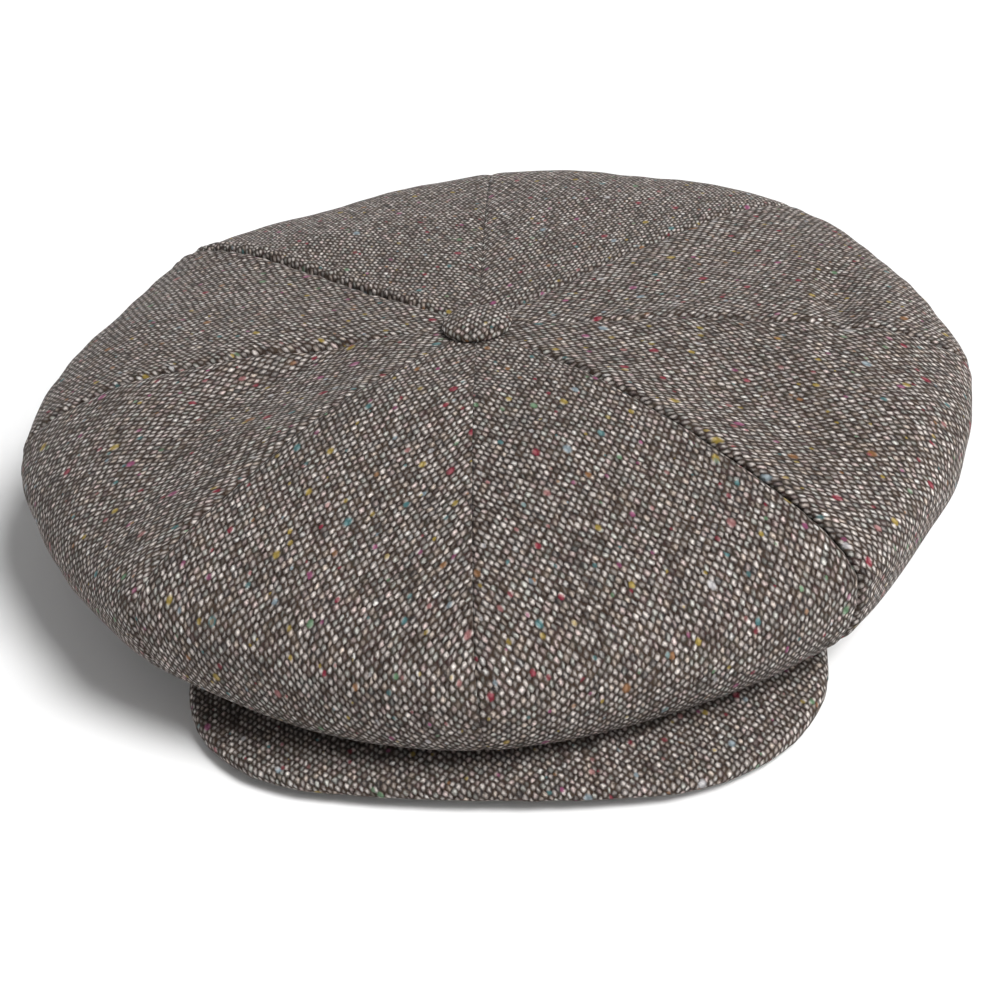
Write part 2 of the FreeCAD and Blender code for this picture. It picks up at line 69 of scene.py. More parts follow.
PANELS = 8
PANEL_NAMES = ("front_left", "left_front", "left_back", "back_left",
               "back_right", "right_back", "right_front", "front_right")
TWIST = math.radians(6.3)
CLOTH = 1.3 * MM
RIM_RADIUS = {"mean": 151.5 * MM, "fore": -15.8 * MM, "side": 0.1 * MM, "oval": 1.3 * MM, "skew": 3.0 * MM}
RIM_CORNERS = 1.7 * MM
RIM_HEIGHT = {"mean": 40.4 * MM, "fore": -6.7 * MM, "side": 4.2 * MM, "oval": 1.3 * MM, "skew": 0.0}
DOME_FLATNESS = {"mean": 0.62, "fore": -0.13, "oval": -0.02}
SHOULDER_FULLNESS = {"mean": 0.62, "fore": -0.05}
ROUNDNESS = 0.55
FOLD_RADIUS = 122 * MM
FOLD_FOLLOWS = 0.6
FOLD_HEIGHT = {"mean": 9.1 * MM, "fore": 0.7 * MM}
SEAM_HEIGHT = 22 * MM
APEX_HOLE = 3.2 * MM

# Where the soft rim stands out or draws in: azimuth and width in degrees, then out and up.
RIM_BUMPS = ((196, 20, -5.0 * MM, -1.5 * MM), (225, 8, -1.0 * MM, 0.5 * MM), (238, 8, -3.5 * MM, 0.3 * MM),
             (319, 15, -2.0 * MM, 6.0 * MM))

# Sags (below zero) and swells of the soft top: x, y, half sizes along and across, turn in degrees, height.
SAGS = ((-73, -36, 26, 15, 20, -3.2), (-104, -74, 30, 15, 55, -2.6), (78, -44, 30, 18, -35, -3.0),
        (100, 26, 30, 8, 88, -3.6), (-34, -58, 34, 24, 65, 3.8), (20, -60, 34, 24, -70, 4.2),
        (70, 55, 34, 22, 40, -1.8), (-60, 40, 34, 20, -40, -2.0), (122, -30, 20, 14, 60, 1.6),
        (-70, -22, 22, 8, 32, -2.2))

PANEL_COLUMNS = 48
PANEL_ROWS = 130
BAND_CLEARANCE = 0.3 * MM


def round_sum(azimuth, mean, fore=0.0, side=0.0, oval=0.0, skew=0.0):
    """A size that changes smoothly round the cap, from the front (azimuth 0) by way of the wearer's left."""
    return (mean + fore * np.cos(azimuth) + side * np.sin(azimuth)
            + oval * np.cos(2 * azimuth) + skew * np.sin(2 * azimuth))


def bezier(poles, count):
    """Points along a cubic curve with four poles."""
    t = np.linspace(0, 1, count)[:, None]
    a, b, c, d = (np.array(pole) for pole in poles)
    return (1 - t) ** 3 * a + 3 * t * (1 - t) ** 2 * b + 3 * t * t * (1 - t) * c + t ** 3 * d


def evenly(points, count):
    """The same line, with count points at equal distances, and its length."""
    steps = np.linalg.norm(np.diff(points, axis=0), axis=1)
    along = np.concatenate(([0.0], np.cumsum(steps)))
    places = np.linspace(0, along[-1], count)
    return np.stack([np.interp(places, along, points[:, axis]) for axis in range(points.shape[1])], 1), along[-1]


def distance_to_band(azimuth, clearance):
    """From the apex, level, to the outer band's outside grown by a clearance."""
    half_width, half_length = BAND_HIGH.x + clearance, BAND_HIGH.y + clearance
    heading = azimuth + TWIST
    dx, dy = math.sin(heading) / half_width, -math.cos(heading) / half_length
    px, py = APEX.x / half_width, APEX.y / half_length
    a, b, c = dx * dx + dy * dy, px * dx + py * dy, px * px + py * py - 1
    return (-b + math.sqrt(b * b - a * c)) / a


def crown_meridian(azimuth, count):
    """(radius, height) of the crown's outside from the apex to the band, and the line's length."""
    rim = round_sum(azimuth, **RIM_RADIUS) + RIM_CORNERS * math.cos(PANELS * azimuth)
    rim_z, fold_z = round_sum(azimuth, **RIM_HEIGHT), round_sum(azimuth, **FOLD_HEIGHT)
    for centre, width, out, up in RIM_BUMPS:
        apart = (math.degrees(azimuth) - centre + 180) % 360 - 180
        share = math.exp(-(apart / width) ** 2)
        rim += out * share
        rim_z += up * share
        fold_z += FOLD_FOLLOWS * up * share
    end = distance_to_band(azimuth, BAND_CLEARANCE)
    flatness, fullness = round_sum(azimuth, **DOME_FLATNESS), round_sum(azimuth, **SHOULDER_FULLNESS)
    top = bezier([(APEX_HOLE, CROWN_TOP), (flatness * rim, CROWN_TOP),
                  (rim, rim_z + fullness * (CROWN_TOP - rim_z)), (rim, rim_z)], 90)
    fold = bezier([(rim, rim_z), (rim, rim_z - ROUNDNESS * (rim_z - fold_z)),
                   (FOLD_RADIUS + ROUNDNESS * (rim - FOLD_RADIUS), fold_z), (FOLD_RADIUS, fold_z)], 40)
    rise = bezier([(FOLD_RADIUS, fold_z), (FOLD_RADIUS - ROUNDNESS * (FOLD_RADIUS - end), fold_z),
                   (end, SEAM_HEIGHT - ROUNDNESS * (SEAM_HEIGHT - fold_z)), (end, SEAM_HEIGHT)], 30)
    return evenly(np.concatenate((top, fold[1:], rise[1:])), count)


def on_meridian(azimuth, profile):
    """Points of the frame for (radius, height) points of one meridian."""
    heading = azimuth + TWIST
    return np.stack([APEX.x + profile[:, 0] * math.sin(heading), APEX.y - profile[:, 0] * math.cos(heading),
                     profile[:, 1]], 1)


def grid_normals(grid):
    """Unit normals of a grid of points, rows by columns."""
    down = np.gradient(grid, axis=0)
    across = np.gradient(grid, axis=1)
    normals = np.cross(down, across)
    return normals / np.maximum(np.linalg.norm(normals, axis=2, keepdims=True), 1e-12)


def smooth_noise(x, y, wavelength, seed, waves=14):
    """Seeded noise of about -1 to 1 with soft hills of one size: a sum of plane waves."""
    rng = np.random.default_rng(seed)
    total = np.zeros_like(x)
    for turn, phase, stretch in zip(rng.uniform(0, math.tau, waves), rng.uniform(0, math.tau, waves),
                                    rng.uniform(0.7, 1.4, waves)):
        k = math.tau / (wavelength * stretch)
        total += np.sin(k * (x * math.cos(turn) + y * math.sin(turn)) + phase)
    return total / math.sqrt(waves / 2) / 2


# ---- mesh helpers ----

def sheet_mesh(name, grid, weave, thickness=0.0, closed=False):
    """A mesh from a grid of points with its weave map. A thickness makes it a closed shell, grown inwards. Points
    that lie on each other are joined, so a grid whose first and last rows meet makes a closed form. A closed grid
    goes all the way round, and its weave map has one column more, so that it doesn't run backwards at the join."""
    rows, columns = grid.shape[:2]
    last = columns if closed else columns - 1
    faces, uvs = [], []
    for row in range(rows - 1):
        for column in range(last):
            corners = ((row, column), (row + 1, column), (row + 1, column + 1), (row, column + 1))
            faces.append([r * columns + c % columns for r, c in corners])
            uvs.extend(weave[r, c] for r, c in corners)
    mesh = bpy.data.meshes.new(name)
    mesh.from_pydata(grid.reshape(-1, 3).tolist(), [], faces)
    layer = mesh.uv_layers.new(name="weave")
    layer.data.foreach_set("uv", np.array(uvs, np.float32).ravel())
    work = bmesh.new()
    work.from_mesh(mesh)
    bmesh.ops.remove_doubles(work, verts=work.verts, dist=JOIN_DISTANCE)
    if not thickness:
        bmesh.ops.recalc_face_normals(work, faces=work.faces)
    work.to_mesh(mesh)
    work.free()
    mesh.shade_smooth()
    piece = bpy.data.objects.new(name, mesh)
    bpy.context.scene.collection.objects.link(piece)
    if thickness:
        shell = piece.modifiers.new("thickness", "SOLIDIFY")
        shell.thickness = thickness
        shell.offset = -1
        apply_modifiers(piece)
    return piece


def apply_modifiers(piece):
    """Bakes the modifiers into the mesh."""
    graph = bpy.context.evaluated_depsgraph_get()
    mesh = bpy.data.meshes.new_from_object(piece.evaluated_get(graph), preserve_all_data_layers=True,
                                           depsgraph=graph)
    piece.modifiers.clear()
    piece.data = mesh
    return piece


def dress(piece, material, body, slot, *nodes):
    """Gives a piece its material and its body, and hides the frame's nodes that it stands for. The slot is not used.
    """
    piece.data.materials.clear()
    piece.data.materials.append(material)
    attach(piece, body)
    if nodes:
        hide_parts(*nodes)
    return piece


# ---- materials ----

class Shader:
    """Builds a node material with few words: numbers and sockets go in, sockets come out."""

    def __init__(self, name):
        self.material = bpy.data.materials.new(name)
        self.material.use_nodes = True
        self.tree = self.material.node_tree
        self.surface = self.tree.nodes["Principled BSDF"]

    def put(self, socket, value):
        if isinstance(value, bpy.types.NodeSocket):
            self.tree.links.new(value, socket)
        else:
            socket.default_value = value

    def node(self, kind, **settings):
        made = self.tree.nodes.new(kind)
        for setting, value in settings.items():
            setattr(made, setting, value)
        return made

    def math(self, operation, *values):
        made = self.node("ShaderNodeMath", operation=operation)
        for socket, value in zip(made.inputs, values):
            self.put(socket, value)
        return made.outputs[0]

    def plus(self, one, other):
        return self.math("ADD", one, other)

    def minus(self, one, other):
        return self.math("SUBTRACT", one, other)

    def times(self, one, other):
        return self.math("MULTIPLY", one, other)

    def over(self, one, other):
        return self.math("DIVIDE", one, other)

    def line(self, value, gain, offset):
        return self.math("MULTIPLY_ADD", value, gain, offset)

    def square(self, value):
        return self.math("MULTIPLY", value, value)

    def weave(self):
        made = self.node("ShaderNodeUVMap", uv_map="weave")
        return made.outputs[0]

    def split(self, vector):
        made = self.node("ShaderNodeSeparateXYZ")
        self.put(made.inputs[0], vector)
        return made.outputs[0], made.outputs[1], made.outputs[2]

    def join(self, x, y, z=0.0):
        made = self.node("ShaderNodeCombineXYZ")
        for socket, value in zip(made.inputs, (x, y, z)):
            self.put(socket, value)
        return made.outputs[0]

    def noise(self, vector, scale, detail=2.0, roughness=0.5):
        made = self.node("ShaderNodeTexNoise")
        self.put(made.inputs["Vector"], vector)
        self.put(made.inputs["Scale"], scale)
        self.put(made.inputs["Detail"], detail)
        self.put(made.inputs["Roughness"], roughness)
        return made.outputs[0]

    def random(self, vector):
        """Three random numbers that stay the same over a cell."""
        made = self.node("ShaderNodeTexWhiteNoise", noise_dimensions="3D")
        self.put(made.inputs["Vector"], vector)
        channels = self.node("ShaderNodeSeparateColor")
        self.put(channels.inputs[0], made.outputs["Color"])
        return channels.outputs[0], channels.outputs[1], channels.outputs[2]

    def fade(self, value, low, high, out_low=0.0, out_high=1.0):
        made = self.node("ShaderNodeMapRange", interpolation_type="SMOOTHSTEP")
        for socket, item in zip(made.inputs, (value, low, high, out_low, out_high)):
            self.put(socket, item)
        return made.outputs[0]

    def pick(self, value, colours, stepped=True):
        """A colour from a list of (from, colour)."""
        made = self.node("ShaderNodeValToRGB")
        ramp = made.color_ramp
        ramp.interpolation = "CONSTANT" if stepped else "LINEAR"
        while len(ramp.elements) < len(colours):
            ramp.elements.new(0.5)
        for element, (start, colour) in zip(ramp.elements, colours):
            element.position = start
            element.color = (*colour, 1.0)
        self.put(made.inputs[0], value)
        return made.outputs[0]

    def mix(self, share, one, other, kind="MIX"):
        made = self.node("ShaderNodeMix", data_type="RGBA", blend_type=kind)
        self.put(made.inputs["Factor"], share)
        self.put(made.inputs[6], one if isinstance(one, bpy.types.NodeSocket) else (*one, 1.0))
        self.put(made.inputs[7], other if isinstance(other, bpy.types.NodeSocket) else (*other, 1.0))
        return made.outputs[2]

    def bump(self, height, distance, strength=1.0):
        made = self.node("ShaderNodeBump")
        made.inputs["Strength"].default_value = strength
        made.inputs["Distance"].default_value = distance
        self.put(made.inputs["Height"], height)
        self.tree.links.new(made.outputs[0], self.surface.inputs["Normal"])

    def finish(self, colour, roughness, **settings):
        self.put(self.surface.inputs["Base Color"], colour)
        self.put(self.surface.inputs["Roughness"], roughness)
        for setting, value in settings.items():
            self.surface.inputs[setting.replace("_", " ")].default_value = value
        return self.material


PITCH_ACROSS = 1.30 * MM
PITCH_ALONG = 1.42 * MM
FLECK_TINTS = ((0.0, (0.22, 0.012, 0.035)), (0.18, (0.26, 0.06, 0.15)), (0.30, (0.32, 0.23, 0.04)),
               (0.48, (0.055, 0.17, 0.18)), (0.60, (0.11, 0.22, 0.12)), (0.69, (0.22, 0.29, 0.33)),
               (0.76, (0.24, 0.11, 0.04)), (0.86, (0.30, 0.13, 0.13)), (0.95, (0.44, 0.43, 0.44)))
LIGHT_TINTS = ((0.0, (0.555, 0.506, 0.474)), (0.36, (0.52, 0.471, 0.443)), (0.58, (0.50, 0.425, 0.37)),
               (0.68, (0.53, 0.433, 0.412)), (0.78, (0.46, 0.455, 0.42)), (0.88, (0.40, 0.345, 0.310)),
               (0.96, (0.63, 0.605, 0.58)))
DARK_TINTS = ((0.30, (0.008, 0.005, 0.0045)), (0.5, (0.019, 0.011, 0.0085)), (0.70, (0.017, 0.013, 0.009)))
DARK_YARN = (0.034, 0.024, 0.019)
LOOSE_FIBRES = (0.074, 0.055, 0.044)
STRAY_TINTS = ((0.0, (0.050, 0.031, 0.020)), (0.4, (0.038, 0.036, 0.024)), (0.6, (0.058, 0.030, 0.030)),
               (0.75, (0.028, 0.030, 0.034)), (0.88, (0.085, 0.060, 0.040)))
STRAY_FROM = 0.45
STRAY_SHARE = 0.35

# Sparse knots: the size of the cell that holds one, its own size, a seed and how much it covers.
FLECKS = ((13.5 * MM, 0.78 * MM, 3.3, 0.92), (9.45 * MM, 0.507 * MM, 8.1, 0.75))
FLECK_WANDER = 0.9 * MM
FLECK_STRETCH = 0.72
FLECK_EDGE = (1.35, 0.60)
FLECK_OVER_FLOAT = 0.35

# The pale floats, in cells of the weave.
YARN_WANDER = 0.7
YARN_WANDER_SCALE = 0.30
RAGGED = 0.8
MOVED_ACROSS = 0.26
MOVED_ALONG = 0.38
LEANING = 0.4
FLOAT_WIDTH = 0.375
FLOAT_WIDTH_CHANGE = 0.10
THIN_YARN = 0.08
FLOAT_LENGTH = 0.55
FLOAT_LENGTH_CHANGE = 0.14
FRAY = 2.2
FRAY_MIDDLE = 0.42
FLOAT_FALLOFF = 1.25

# How bright a float is. Pairs hold a gain and an offset, and fours hold where a fade starts and ends, and its values.
FLOAT_BRIGHTNESS = (0.32, 0.46)
DULL_YARN = (-0.26, 1.12)
SLUBS = (0.28, 0.72, 0.74, 1.22)
FIBRE_BRIGHTNESS = (1.3, 0.35)
STRONG_FLOATS = (0.0, 0.4, 0.75, 1.70)


def flecks(s, u, v, cell, size, seed):
    """Sparse coloured knots of wool: how much a point lies in one, and the knot's random number."""
    knots = s.node("ShaderNodeTexVoronoi", voronoi_dimensions="3D")
    wander = s.times(s.minus(s.noise(s.join(u, v, seed), 1600.0, 2.0), 0.5), FLECK_WANDER)
    place = s.join(s.over(s.plus(u, wander), cell), s.over(s.times(s.minus(v, wander), FLECK_STRETCH), cell), seed)
    s.put(knots.inputs["Vector"], place)
    s.put(knots.inputs["Scale"], 1.0)
    channels = s.node("ShaderNodeSeparateColor")
    s.put(channels.inputs[0], knots.outputs["Color"])
    reach = s.times(s.line(channels.outputs[1], 0.9, 0.55), size / cell)
    x, y, _ = s.split(knots.outputs["Position"])
    place_x, place_y, _ = s.split(place)
    away = s.math("SQRT", s.plus(s.square(s.minus(x, place_x)), s.square(s.minus(y, place_y))))
    return s.fade(s.over(away, reach), *FLECK_EDGE), channels.outputs[0]


def tweed():
    """Plain-weave wool: pale blobs where the light yarn comes up between dark brown yarns, with coloured flecks."""
    s = Shader("tweed")
    u, v, _ = s.split(s.weave())
    cells = s.join(s.over(u, PITCH_ACROSS), s.over(v, PITCH_ALONG))
    x, y, _ = s.split(cells)
    wander_x = s.noise(cells, YARN_WANDER_SCALE, 3.0)
    wander_y = s.noise(s.join(y, x, 7.0), YARN_WANDER_SCALE, 3.0)
    x = s.plus(x, s.times(s.minus(wander_x, 0.5), YARN_WANDER))
    y = s.plus(y, s.times(s.minus(wander_y, 0.5), YARN_WANDER))

    # The light floats sit on every second cell. Half sums and differences turn that into a square lattice.
    along, across = s.times(s.plus(x, y), 0.5), s.times(s.minus(x, y), 0.5)
    near_a = s.plus(s.math("FLOOR", along), 0.5)
    near_b = s.math("FLOOR", s.plus(across, 0.5))
    left_a, left_b = s.minus(along, near_a), s.minus(across, near_b)
    dx, dy = s.plus(left_a, left_b), s.minus(left_a, left_b)
    column = s.minus(s.plus(near_a, near_b), 0.5)
    light_random, width_random, tint_random = s.random(s.join(near_a, near_b, 3.0))
    stray_random, length_random, strength_random = s.random(s.join(near_a, near_b, 11.0))

    # No two floats sit quite alike: each is moved, leans and has its own size, and its outline is ragged.
    lean, move_x, move_y = s.random(s.join(near_a, near_b, 17.0))
    rough_x = s.noise(s.join(x, y, 21.0), 1.5, 2.0, 0.6)
    rough_y = s.noise(s.join(x, y, 27.0), 1.5, 2.0, 0.6)
    move_x = s.line(move_x, MOVED_ACROSS, -(RAGGED + MOVED_ACROSS) / 2)
    move_y = s.line(move_y, MOVED_ALONG, -(RAGGED + MOVED_ALONG) / 2)
    dx = s.plus(dx, s.line(rough_x, RAGGED, move_x))
    dy = s.plus(dy, s.line(rough_y, RAGGED, move_y))
    dx = s.plus(dx, s.times(dy, s.line(lean, LEANING, -LEANING / 2)))

    # Every second light yarn is thinner and duller. A float is brightest in its middle, partly a painted highlight on
    # the round yarn, and fades to frayed edges.
    odd = s.math("PINGPONG", column, 1.0)
    width = s.line(odd, -THIN_YARN, s.line(width_random, FLOAT_WIDTH_CHANGE, FLOAT_WIDTH))
    length = s.line(length_random, FLOAT_LENGTH_CHANGE, FLOAT_LENGTH)
    away = s.plus(s.square(s.over(dx, width)), s.square(s.over(dy, length)))
    fibre = s.noise(s.join(s.times(x, 3.6), s.times(y, 1.9), 2.0), 1.0, 4.0, 0.75)
    frayed = s.line(s.minus(fibre, FRAY_MIDDLE), FRAY, away)
    # The mask's soft fall-off from the middle is partly the frayed edge of the yarn and partly a painted highlight on
    # the float's middle.
    float_mask = s.math("MINIMUM", s.math("EXPONENT", s.times(frayed, -FLOAT_FALLOFF)), 1.0)

    slub = s.noise(s.join(s.times(column, 3.1), s.times(y, 0.08), 5.0), 1.0, 2.0)
    brightness = s.times(s.line(light_random, *FLOAT_BRIGHTNESS), s.line(odd, *DULL_YARN))
    brightness = s.times(brightness, s.fade(slub, *SLUBS))
    brightness = s.times(brightness, s.line(fibre, *FIBRE_BRIGHTNESS))
    brightness = s.times(brightness, s.fade(strength_random, *STRONG_FLOATS))
    light = s.pick(tint_random, LIGHT_TINTS)
    light = s.mix(1.0, light, s.join(brightness, brightness, brightness), "MULTIPLY")

    # Between the floats lie the dark yarns. Some of their places take a stray tint, which goes with the number
    # that sets the length of the float beside them.
    dark = s.pick(s.noise(s.join(x, y, 9.0), 0.8, 2.0), DARK_TINTS, False)
    waves_x, waves_y = s.math("SINE", s.times(x, math.pi)), s.math("SINE", s.times(y, math.pi))
    dark_float = s.math("MAXIMUM", s.times(s.times(waves_x, waves_y), -1.0), 0.0)
    dark = s.mix(s.times(dark_float, s.fade(fibre, 0.30, 0.62)), dark, DARK_YARN)
    stray = s.times(s.math("GREATER_THAN", stray_random, STRAY_FROM), STRAY_SHARE)
    dark = s.mix(stray, dark, s.pick(length_random, STRAY_TINTS))
    dark = s.mix(s.fade(fibre, 0.45, 0.9, 0.0, 0.25), dark, LOOSE_FIBRES)

    colour = s.mix(float_mask, dark, light)
    for cell, size, seed, cover in FLECKS:
        inside, kind = flecks(s, u, v, cell, size, seed)
        covered = s.times(inside, s.line(float_mask, FLECK_OVER_FLOAT, cover - FLECK_OVER_FLOAT))
        colour = s.mix(covered, colour, s.pick(kind, FLECK_TINTS))

    crown = s.minus(1.0, s.times(s.math("MINIMUM", away, 1.6), 0.6))
    s.bump(s.line(fibre, 0.4, crown), 0.3 * MM, 0.8)
    return s.finish(colour, 0.95, Sheen_Weight=0.04, Sheen_Roughness=0.5, Specular_IOR_Level=0.08)


TWILL_PITCH = 0.9 * MM


def satin():
    """Black-brown lining satin with faint threads."""
    s = Shader("lining_satin")
    u, v, _ = s.split(s.weave())
    threads = s.noise(s.join(s.times(u, 5200.0), s.times(v, 420.0)), 1.0, 2.0)
    creases = s.noise(s.join(u, v), 38.0, 3.0)
    colour = s.mix(s.fade(threads, 0.3, 0.7), (0.017, 0.012, 0.011), (0.045, 0.034, 0.030))
    s.bump(s.line(creases, 4.0, threads), 0.12 * MM, 0.6)
    return s.finish(colour, s.fade(creases, 0.3, 0.7, 0.30, 0.46), Specular_IOR_Level=0.5, Anisotropic=0.4)


def twill():
    """Black cotton twill, with its diagonal ribs, its colour painted darker in the rib hollows and lighter on the
    crests as shade.
    """
    s = Shader("sweatband_twill")
    u, v, _ = s.split(s.weave())
    ribs = s.math("SINE", s.times(s.plus(u, v), math.tau / TWILL_PITCH))
    threads = s.noise(s.join(s.times(u, 3000.0), s.times(v, 900.0)), 1.0, 3.0)
    height = s.line(ribs, 0.5, threads)
    # Painted shade: the colour follows the rib height, darker in the hollows and lighter on the crests, and the
    # thread noise adds real tone.
    colour = s.mix(s.fade(height, -0.1, 1.1), (0.010, 0.009, 0.010), (0.050, 0.046, 0.045))
    s.bump(height, 0.18 * MM, 0.8)
    return s.finish(colour, 0.82, Sheen_Weight=0.1, Specular_IOR_Level=0.25)


def plain(name, colours, roughness, scale, bump_size, **settings):
    """A material with fine grain in two colours, for the small hidden parts and the thread."""
    s = Shader(name)
    place = s.node("ShaderNodeTexCoord").outputs["Object"]
    grain = s.noise(place, scale, 4.0, 0.6)
    patches = s.noise(place, scale / 9, 2.0)
    colour = s.mix(s.fade(s.line(patches, 0.5, s.times(grain, 0.6)), 0.3, 0.8), *colours)
    s.bump(grain, bump_size, 0.6)
    return s.finish(colour, s.fade(patches, 0.3, 0.7, roughness * 0.85, min(1.0, roughness * 1.15)), **settings)


TWEED, SATIN, TWILL = tweed(), satin(), twill()
THREAD_BLACK = plain("thread_black", ((0.010, 0.009, 0.009), (0.05, 0.045, 0.045)), 0.7, 3000.0, 0.05 * MM)
FELT = plain("felt", ((0.035, 0.030, 0.028), (0.11, 0.10, 0.09)), 0.95, 1800.0, 0.2 * MM, Sheen_Weight=0.2)
TAPE = plain("stiffener_tape", ((0.50, 0.47, 0.41), (0.66, 0.63, 0.57)), 0.85, 1400.0, 0.1 * MM)
POLYTHENE = plain("visor_polythene", ((0.55, 0.56, 0.55), (0.70, 0.71, 0.70)), 0.4, 120.0, 0.05 * MM)
TIN = plain("button_metal", ((0.50, 0.50, 0.50), (0.66, 0.66, 0.65)), 0.35, 900.0, 0.02 * MM, Metallic=1.0)
STEEL = plain("button_plate", ((0.42, 0.42, 0.43), (0.58, 0.58, 0.58)), 0.4, 700.0, 0.02 * MM, Metallic=1.0)

# ---- crown ----

SEAM_DEPTH = 1.3 * MM
SEAM_WIDTH = 1.0 * MM
ROLL_HEIGHT = 0.45 * MM
ROLL_PLACE = 4.0 * MM
ROLL_WIDTH = 3.5 * MM
SEAM_STRENGTH = (0.28, 1.05, 0.6, 0.4, 0.33, 1.9, 0.9, 0.45)
PUCKER_LENGTH = 8.5 * MM
PUCKER_DRIFT = 23 * MM
PUCKER_HEIGHT = 0.22 * MM
SEAM_CROWDING = 0.55
HILLS = ((0.55 * MM, 48 * MM, 5), (0.16 * MM, 15 * MM, 6))
UNDERSIDE_FROM = 0.72
UNDERSIDE_BLEND = 0.1
CALM_AT_BUTTON = (8 * MM, 30 * MM)
CALM_AT_BAND = 6 * MM
GRAIN_STEP = 0.5


def seam_relief(distance, along, strength):
    """How far the cloth stands off its smooth shape near a seam: a groove between two soft, puckered rolls."""
    groove = -SEAM_DEPTH * np.exp(-(distance / SEAM_WIDTH) ** 2)
    near = np.exp(-((distance - ROLL_PLACE) / ROLL_WIDTH) ** 2)
    pucker = PUCKER_HEIGHT * np.sin(along * math.tau / PUCKER_LENGTH + 3 * np.sin(along / PUCKER_DRIFT))
    return strength * (groove + near * (ROLL_HEIGHT + pucker))


def sags(x, y):
    """The soft hollows and swells of the crown's top at points of the plan."""
    total = np.zeros_like(x)
    for centre_x, centre_y, long_half, short_half, turn, height in SAGS:
        dx, dy = x / MM - centre_x, y / MM - centre_y
        turn = math.radians(turn)
        lengthways = (dx * math.cos(turn) + dy * math.sin(turn)) / long_half
        sideways = (dy * math.cos(turn) - dx * math.sin(turn)) / short_half
        total += height * MM * np.exp(-lengthways ** 2 - sideways ** 2)
    return total


def panel_grid(number, meridian, columns, rows):
    """Points of one panel between two seams: its grid, the distances across the cloth, and those along it. The
    columns stand closer near the seams."""
    share = math.tau / PANELS
    middle = (number + 0.5) * share
    spread = np.linspace(-1, 1, columns + 1)
    spread = np.sin(spread * math.pi / 2) * SEAM_CROWDING + spread * (1 - SEAM_CROWDING)
    grid = np.zeros((rows, columns + 1, 3))
    for column, place in enumerate(spread):
        profile, length = meridian(middle + place * share / 2, rows)
        grid[:, column] = on_meridian(middle + place * share / 2, profile)
        if column == columns // 2:
            middle_length = length
    steps = np.linalg.norm(np.diff(grid, axis=1), axis=2)
    across = np.concatenate((np.zeros((rows, 1)), np.cumsum(steps, axis=1)), axis=1)
    along = np.linspace(0, 1, rows)[:, None] * middle_length * np.ones((1, columns + 1))
    return grid, across, along


def crown_panel(number, name):
    """One tweed panel of the crown, from seam to seam."""
    grid, across, along = panel_grid(number, crown_meridian, PANEL_COLUMNS, PANEL_ROWS)
    width = across[:, -1:]
    before, after = SEAM_STRENGTH[number], SEAM_STRENGTH[(number + 1) % PANELS]
    relief = seam_relief(across, along, before) + seam_relief(width - across, along, after)
    flat_x, flat_y = grid[:, :, 0], grid[:, :, 1]
    soft = sags(flat_x, flat_y)
    for height, wavelength, seed in HILLS:
        soft += height * smooth_noise(flat_x, flat_y + 2 * grid[:, :, 2], wavelength, seed)
    underside = np.clip((along / along[-1:] - UNDERSIDE_FROM) / UNDERSIDE_BLEND, 0, 1)
    relief += soft * (1 - underside)
    fade = (np.clip((along - CALM_AT_BUTTON[0]) / CALM_AT_BUTTON[1], 0, 1)
            * np.clip((along[-1:] - along) / CALM_AT_BAND, 0, 1))
    grid = grid + grid_normals(grid) * (relief * fade)[:, :, None]
    weave = np.stack([across - width / 2 + number * GRAIN_STEP, along], 2)
    return dress(sheet_mesh("crown_" + name, grid, weave, CLOTH), TWEED, "cap", "tweed", "crown_panel_" + name)


LINING_DROP = 4.6 * MM
LINING_INSET = 14 * MM
LINING_FOLD_OUT = 8 * MM
LINING_FOLD_HEIGHT = 28 * MM
LINING_END_HEIGHT = 24.6 * MM
LINING_THICK = 0.5 * MM
LINING_HOLE = 0.3 * MM
LINING_COLUMNS = 28
LINING_ROWS = 70
LINING_FOLDS = 1.1 * MM
LINING_FOLD_LENGTH = 30 * MM
LINING_SEAM_DEPTH = 0.5 * MM
LINING_SEAM_WIDTH = 1 * MM
LINING_FOLD_START = 12 * MM
LINING_BUTTON_FADE = 30 * MM
LINING_BAND_FADE = 16 * MM


def lining_meridian(azimuth, count):
    """(radius, height) of the lining from the apex to the top of the band, and the line's length."""
    rim = round_sum(azimuth, **RIM_RADIUS) - LINING_INSET
    rim_z = round_sum(azimuth, **RIM_HEIGHT)
    top = CROWN_TOP - LINING_DROP
    end = distance_to_band(azimuth, BAND_CLEARANCE)
    fold = end + LINING_FOLD_OUT
    flatness, fullness = round_sum(azimuth, **DOME_FLATNESS), round_sum(azimuth, **SHOULDER_FULLNESS)
    dome = bezier([(LINING_HOLE, top), (flatness * rim, top),
                   (rim, rim_z + fullness * (top - rim_z)), (rim, rim_z)], 60)
    turn = bezier([(rim, rim_z), (rim, rim_z - ROUNDNESS * (rim_z - LINING_FOLD_HEIGHT)),
                   (fold + ROUNDNESS * (rim - fold), LINING_FOLD_HEIGHT), (fold, LINING_FOLD_HEIGHT)], 20)
    rise = bezier([(fold, LINING_FOLD_HEIGHT), (fold - ROUNDNESS * (fold - end), LINING_FOLD_HEIGHT),
                   (end, LINING_END_HEIGHT + 1 * MM), (end, LINING_END_HEIGHT)], 12)
    return evenly(np.concatenate((dome, turn[1:], rise[1:])), count)


